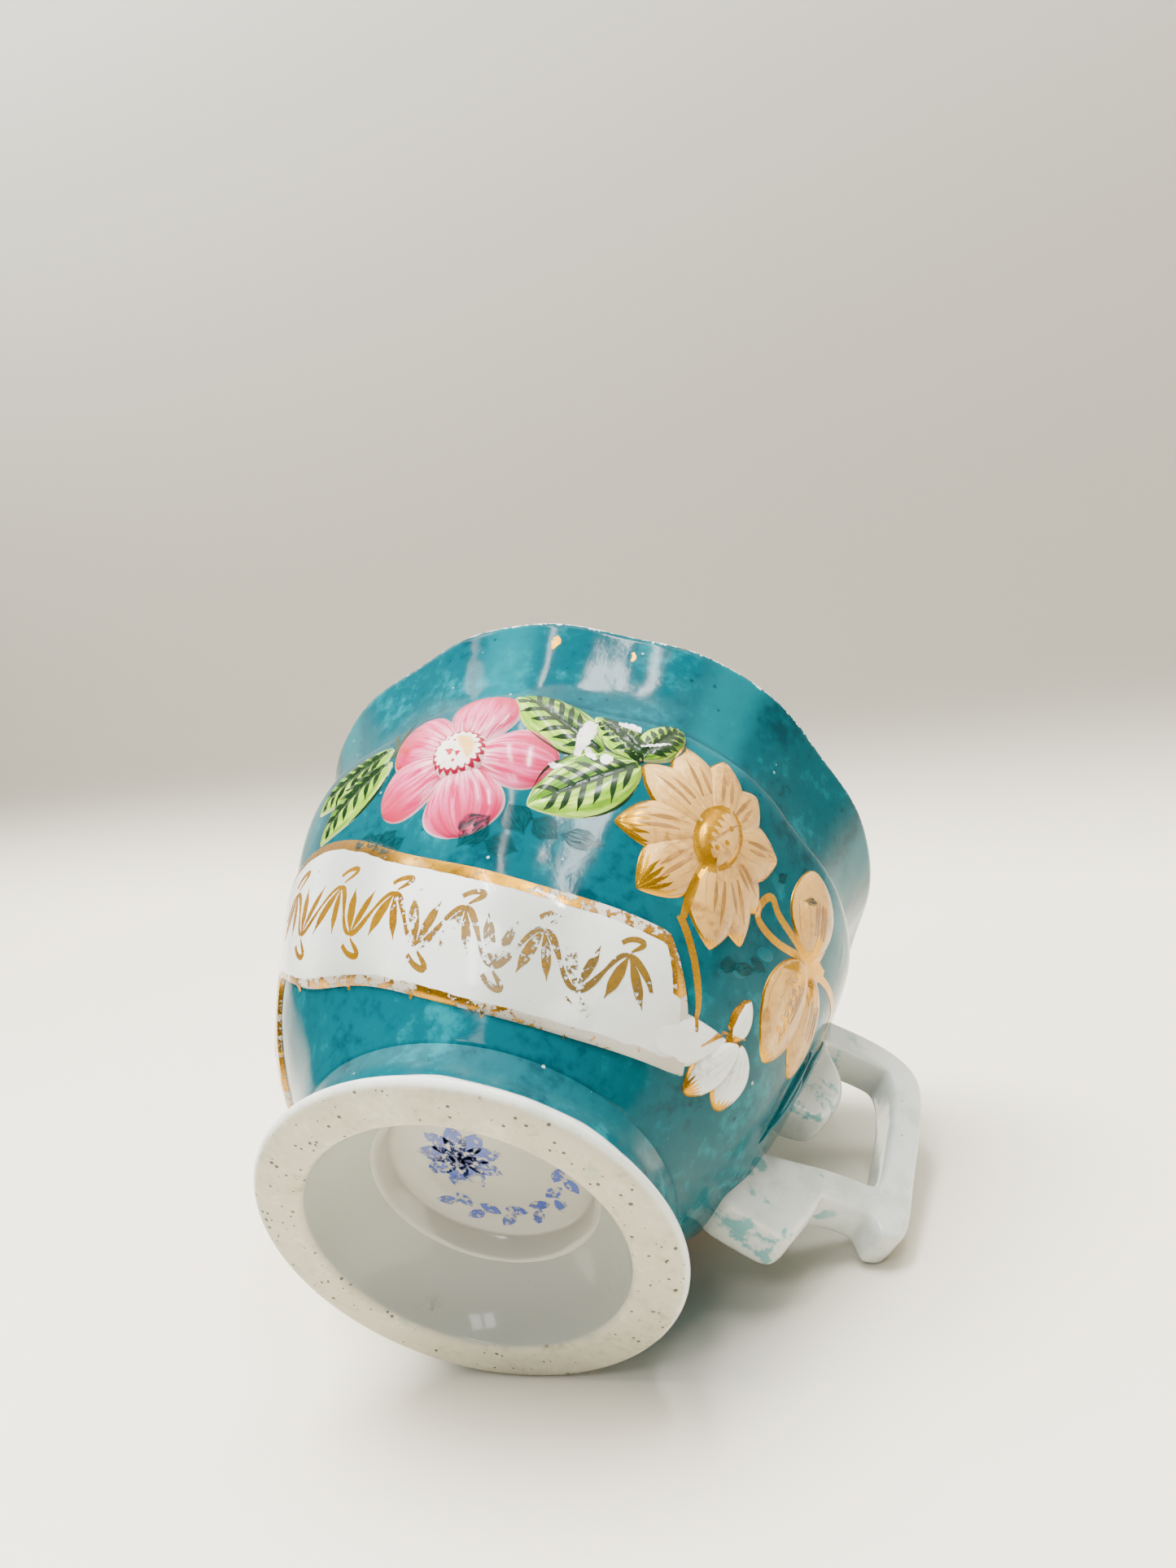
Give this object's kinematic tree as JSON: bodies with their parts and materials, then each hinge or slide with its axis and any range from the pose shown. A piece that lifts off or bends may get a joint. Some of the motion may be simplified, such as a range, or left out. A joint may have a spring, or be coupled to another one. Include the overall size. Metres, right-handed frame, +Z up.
{
  "type": "shaving mug",
  "caption": "Footed porcelain mug with a fluted flaring bowl, angular twig handle, hollow foot ring and raised painted flowers over a white ribbon.",
  "frame": {"origin": "middle of the whole footprint, on the plane that the foot ring stands on", "axes": "+Z up from foot to rim, +X towards the handle, the painted face looks to -Y"},
  "size_m": [0.118, 0.1032, 0.084],
  "materials": {
    "teal_glaze": "glossy coloured glaze",
    "white_glaze": "glossy clear glaze over white porcelain",
    "bare_clay": "unglazed worn ring, glazed above",
    "rose_pink": "hand-painted enamel",
    "leaf_green": "hand-painted enamel",
    "pale_peach": "matte lustre with worn gilding"
  },
  "bodies": {
    "root": {"bowl": "teal_glaze", "bud_back": "white_glaze", "bud_front": "white_glaze", "bud_leaf_back": "white_glaze", "bud_leaf_front": "white_glaze", "foot": "bare_clay", "gilt_blossom_back": "pale_peach", "gilt_blossom_front": "pale_peach", "handle": "white_glaze", "leaf_broad_back": "leaf_green", "leaf_broad_front": "leaf_green", "leaf_left_lower_back": "leaf_green", "leaf_left_lower_front": "leaf_green", "leaf_left_upper_back": "leaf_green", "leaf_left_upper_front": "leaf_green", "leaf_long_back": "leaf_green", "leaf_long_front": "leaf_green", "leaf_small_back": "leaf_green", "leaf_small_front": "leaf_green", "ribbon": "white_glaze", "rose_back": "rose_pink", "rose_front": "rose_pink", "spray_left_back": "pale_peach", "spray_left_front": "pale_peach", "spray_right_back": "pale_peach", "spray_right_front": "pale_peach", "spray_upper_back": "pale_peach", "spray_upper_front": "pale_peach"}
  },
  "joints": []
}
